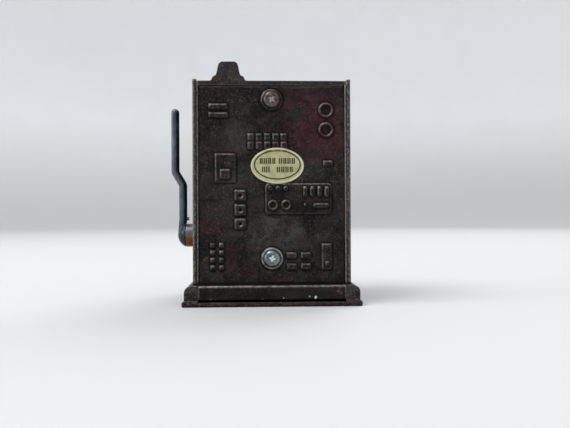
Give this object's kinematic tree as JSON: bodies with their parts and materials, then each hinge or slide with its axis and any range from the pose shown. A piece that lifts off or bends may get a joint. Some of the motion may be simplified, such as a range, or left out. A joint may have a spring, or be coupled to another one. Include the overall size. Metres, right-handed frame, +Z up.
{
  "type": "toy slot machine",
  "caption": "Miniature die-cast one-armed bandit with a side pull arm, geared reel shaft, spinning reels and a screwed back plate with raised mock electronics.",
  "frame": {"origin": "middle of the cabinet's footprint, at the surface it stands on", "axes": "+Z up, the reel window faces -Y, the pull arm is on +X, the screwed back plate faces +Y"},
  "size_m": [0.0517, 0.0385, 0.064],
  "materials": {
    "dark_bronze": "antique bronze lacquer, worn to bare metal on edges",
    "gunmetal": "satin blue-grey",
    "bushing_metal": "worn bright",
    "screw_dull": "tarnished plating",
    "screw_zinc": "worn zinc plating",
    "sticker": "pale gold foil paper, satin",
    "sheet_steel": "plain",
    "shaft_steel": "bright",
    "gear_brass": "stamped",
    "spring_steel": "hard drawn",
    "reel_plastic": "ivory",
    "reel_paper": "printed",
    "trim_brass": "antiqued",
    "clear_lens": "clear",
    "nylon": "natural"
  },
  "bodies": {
    "cabinet": {"casing": "dark_bronze", "back_plate": "dark_bronze", "origin_sticker": "sticker", "window_bezel": "trim_brass", "window_lens": "clear_lens", "award_plate": "trim_brass", "payout_tray": "dark_bronze", "lever_bushing": "bushing_metal", "upper_back_screw": "screw_dull", "lower_back_screw": "screw_zinc", "mechanism_frame": "sheet_steel", "frame_screws": "screw_zinc", "lever_stop_pin": "shaft_steel", "brake_bar": "sheet_steel", "brake_leaf": "spring_steel", "brake_leaf_screws": "screw_zinc", "return_spring": "spring_steel"},
    "lever": {"pull_arm": "gunmetal", "lever_shaft": "shaft_steel", "lever_shaft_clip": "spring_steel", "sector_gear": "gear_brass", "spring_pin": "shaft_steel"},
    "reel_axle": {"reel_shaft": "shaft_steel", "reel_shaft_clip": "spring_steel", "reel_pinion": "gear_brass", "reel_spacers": "nylon"},
    "reel_left": {"reel_drum_left": "reel_plastic", "reel_band_left": "reel_paper"},
    "reel_centre": {"reel_drum_centre": "reel_plastic", "reel_band_centre": "reel_paper"},
    "reel_right": {"reel_drum_right": "reel_plastic", "reel_band_right": "reel_paper"}
  },
  "joints": [
    {"name": "lever_pull", "type": "hinge", "parent": "cabinet", "child": "lever", "pos_m": [0, 0.002, 0.0181], "axis": [1, 0, 0], "range_deg": [0, 55], "stiffness_Nm_per_rad": 0.001, "springref_deg": -57.3, "deforming": ["return_spring"]},
    {"name": "reel_drive", "type": "hinge", "parent": "cabinet", "child": "reel_axle", "pos_m": [0, -0.0035, 0.03524], "axis": [1, 0, 0], "range_deg": [-222, 2]},
    {"name": "reel_spin_left", "type": "hinge", "parent": "reel_axle", "child": "reel_left", "pos_m": [0, -0.0035, 0.03524], "axis": [1, 0, 0], "continuous": true},
    {"name": "reel_spin_centre", "type": "hinge", "parent": "reel_axle", "child": "reel_centre", "pos_m": [0, -0.0035, 0.03524], "axis": [1, 0, 0], "continuous": true},
    {"name": "reel_spin_right", "type": "hinge", "parent": "reel_axle", "child": "reel_right", "pos_m": [0, -0.0035, 0.03524], "axis": [1, 0, 0], "continuous": true}
  ],
  "couplings": [
    {"joint": "reel_drive", "follows": "lever_pull", "ratio": -4}
  ]
}
